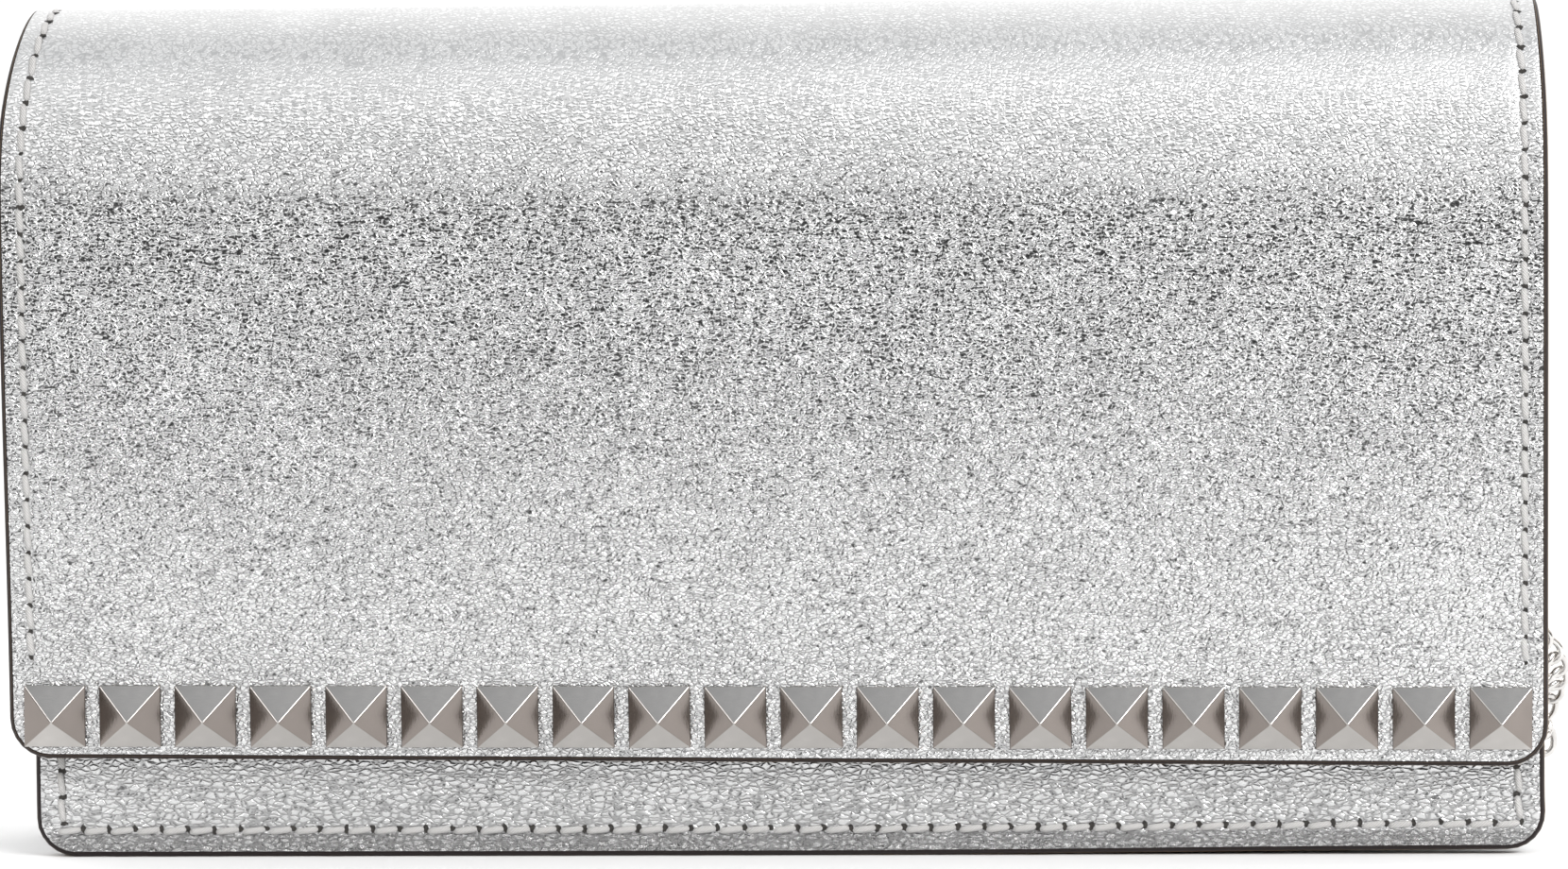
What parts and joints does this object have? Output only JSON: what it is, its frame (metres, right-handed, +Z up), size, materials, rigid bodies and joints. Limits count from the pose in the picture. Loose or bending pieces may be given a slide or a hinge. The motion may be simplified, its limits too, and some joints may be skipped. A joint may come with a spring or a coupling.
{
  "type": "chain wallet",
  "caption": "Long flap wallet in metallic leather with a row of pyramid studs, hidden snap, zip coin pocket, card pockets and a detachable chain on D-rings.",
  "frame": {"origin": "under the middle of the closed wallet, on the surface that it stands on", "axes": "+X along the flap to the right of someone facing the front, +Y from the front to the back, +Z up"},
  "size_m": [0.2026, 0.0709, 0.108],
  "materials": {
    "silver_leather": "metallic silver, fine pebble grain",
    "lining_leather": "smooth dark leather",
    "stud_metal": "satin gunmetal plate",
    "satin_metal": "satin plate",
    "chain_metal": "polished pale plate",
    "zip_cloth": "woven tape"
  },
  "bodies": {
    "root": {"back_panel": "silver_leather", "back_lining": "lining_leather", "gusset": "silver_leather", "card_tier_1": "lining_leather", "card_tier_2": "lining_leather", "card_tier_3": "lining_leather", "card_tier_4": "lining_leather", "pocket_wall_front": "lining_leather", "pocket_wall_back": "lining_leather", "zip_tape_front": "zip_cloth", "zip_tape_back": "zip_cloth", "zip_teeth_front": "satin_metal", "zip_teeth_back": "satin_metal", "zip_stop_left": "satin_metal", "zip_stop_right": "satin_metal", "ring_tab_left": "silver_leather", "ring_tab_right": "silver_leather", "chain_left": "chain_metal", "chain_right": "chain_metal", "chain_hank": "chain_metal", "hank_tie": "lining_leather"},
    "flap": {"flap": "silver_leather", "flap_lining": "lining_leather", "snap_plug": "satin_metal", "snap_plug_washer": "satin_metal", "stud_01": "stud_metal", "stud_02": "stud_metal", "stud_03": "stud_metal", "stud_04": "stud_metal", "stud_05": "stud_metal", "stud_06": "stud_metal", "stud_07": "stud_metal", "stud_08": "stud_metal", "stud_09": "stud_metal", "stud_10": "stud_metal", "stud_11": "stud_metal", "stud_12": "stud_metal", "stud_13": "stud_metal", "stud_14": "stud_metal", "stud_15": "stud_metal", "stud_16": "stud_metal", "stud_17": "stud_metal", "stud_18": "stud_metal", "stud_19": "stud_metal", "stud_20": "stud_metal"},
    "front": {"front_panel": "silver_leather", "front_lining": "lining_leather", "snap_socket": "satin_metal", "snap_socket_washer": "satin_metal"},
    "slider": {"zip_slider": "satin_metal"},
    "pull": {"zip_pull": "satin_metal"},
    "ring_left": {"d_ring_left": "satin_metal", "clasp_left": "satin_metal"},
    "ring_right": {"d_ring_right": "satin_metal", "clasp_right": "satin_metal"},
    "gate_left": {"clasp_gate_left": "satin_metal"},
    "gate_right": {"clasp_gate_right": "satin_metal"}
  },
  "joints": [
    {"name": "flap_hinge", "type": "hinge", "parent": "root", "child": "flap", "pos_m": [0, 0.01645, 0.0932], "axis": [-1, 0, 0], "range_deg": [0, 120]},
    {"name": "front_spread", "type": "hinge", "parent": "root", "child": "front", "pos_m": [0, -0.00805, 0], "axis": [1, 0, 0], "range_deg": [0, 6]},
    {"name": "zip_slide", "type": "slide", "parent": "root", "child": "slider", "axis": [-1, 0, 0], "range_m": [0, 0.13]},
    {"name": "pull_swing", "type": "hinge", "parent": "slider", "child": "pull", "pos_m": [0.0689, 0.00275, 0.0899], "axis": [0, 1, 0], "range_deg": [0, 175]},
    {"name": "ring_swing_left", "type": "hinge", "parent": "root", "child": "ring_left", "pos_m": [-0.0867, 0.0042, 0.079], "axis": [0, 1, 0], "range_deg": [0, 20]},
    {"name": "ring_swing_right", "type": "hinge", "parent": "root", "child": "ring_right", "pos_m": [0.0885, 0.0042, 0.079], "axis": [0, -1, 0], "range_deg": [0, 20]},
    {"name": "gate_left_press", "type": "hinge", "parent": "ring_left", "child": "gate_left", "pos_m": [-0.0931, 0.0042, 0.06355], "axis": [0, 1, 0], "range_deg": [0, 18], "stiffness_Nm_per_rad": 0.002, "springref_deg": -17.19},
    {"name": "gate_right_press", "type": "hinge", "parent": "ring_right", "child": "gate_right", "pos_m": [0.0949, 0.0042, 0.06355], "axis": [0, -1, 0], "range_deg": [0, 18], "stiffness_Nm_per_rad": 0.002, "springref_deg": -17.19}
  ],
  "couplings": [
    {"joint": "front_spread", "follows": "flap_hinge", "ratio": 0.05}
  ]
}
